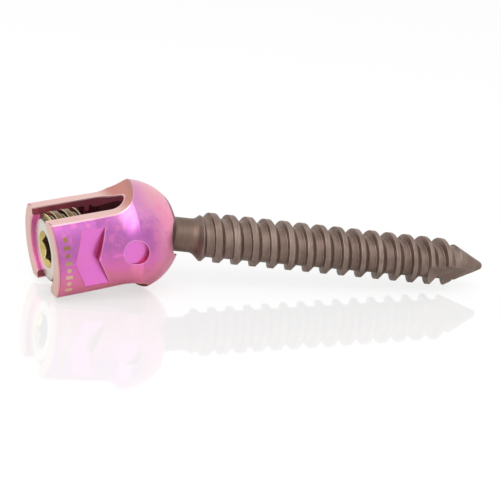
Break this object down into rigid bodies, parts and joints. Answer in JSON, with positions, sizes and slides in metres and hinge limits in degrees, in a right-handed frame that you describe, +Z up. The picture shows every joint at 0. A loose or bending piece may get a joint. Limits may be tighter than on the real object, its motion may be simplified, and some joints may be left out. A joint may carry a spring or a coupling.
{
  "type": "pedicle screw",
  "caption": "Polyaxial bone screw with a slotted pink head, a pressure cap over its ball and a set screw that locks a rod in the head.",
  "frame": {"origin": "middle of the bounding box at the bottom, on the surface that the part rests on", "axes": "+Z up with the part lying at rest, +X from the head's open rim towards the screw's tip, +Y away from the leg that faces the viewer"},
  "size_m": [0.0608, 0.0196, 0.0142],
  "materials": {
    "anodised_head": "gloss",
    "shank_metal": "satin",
    "cap_metal": "satin",
    "plug_metal": "satin"
  },
  "bodies": {
    "head": {"tulip_head": "anodised_head", "pressure_cap": "cap_metal"},
    "shank": {"bone_screw": "shank_metal"},
    "locking_screw": {"set_screw": "plug_metal"}
  },
  "joints": [
    {"name": "shank_tilt", "type": "hinge", "parent": "head", "child": "shank", "pos_m": [-0.01558, 0.00253, 0.00736], "axis": [0.097, 0.6928, -0.7146], "range_deg": [-46, 10]},
    {"name": "set_screw_travel", "type": "slide", "parent": "head", "child": "locking_screw", "axis": [-0.9909, 0, -0.1345], "range_m": [-0.0015, 0.006]}
  ]
}
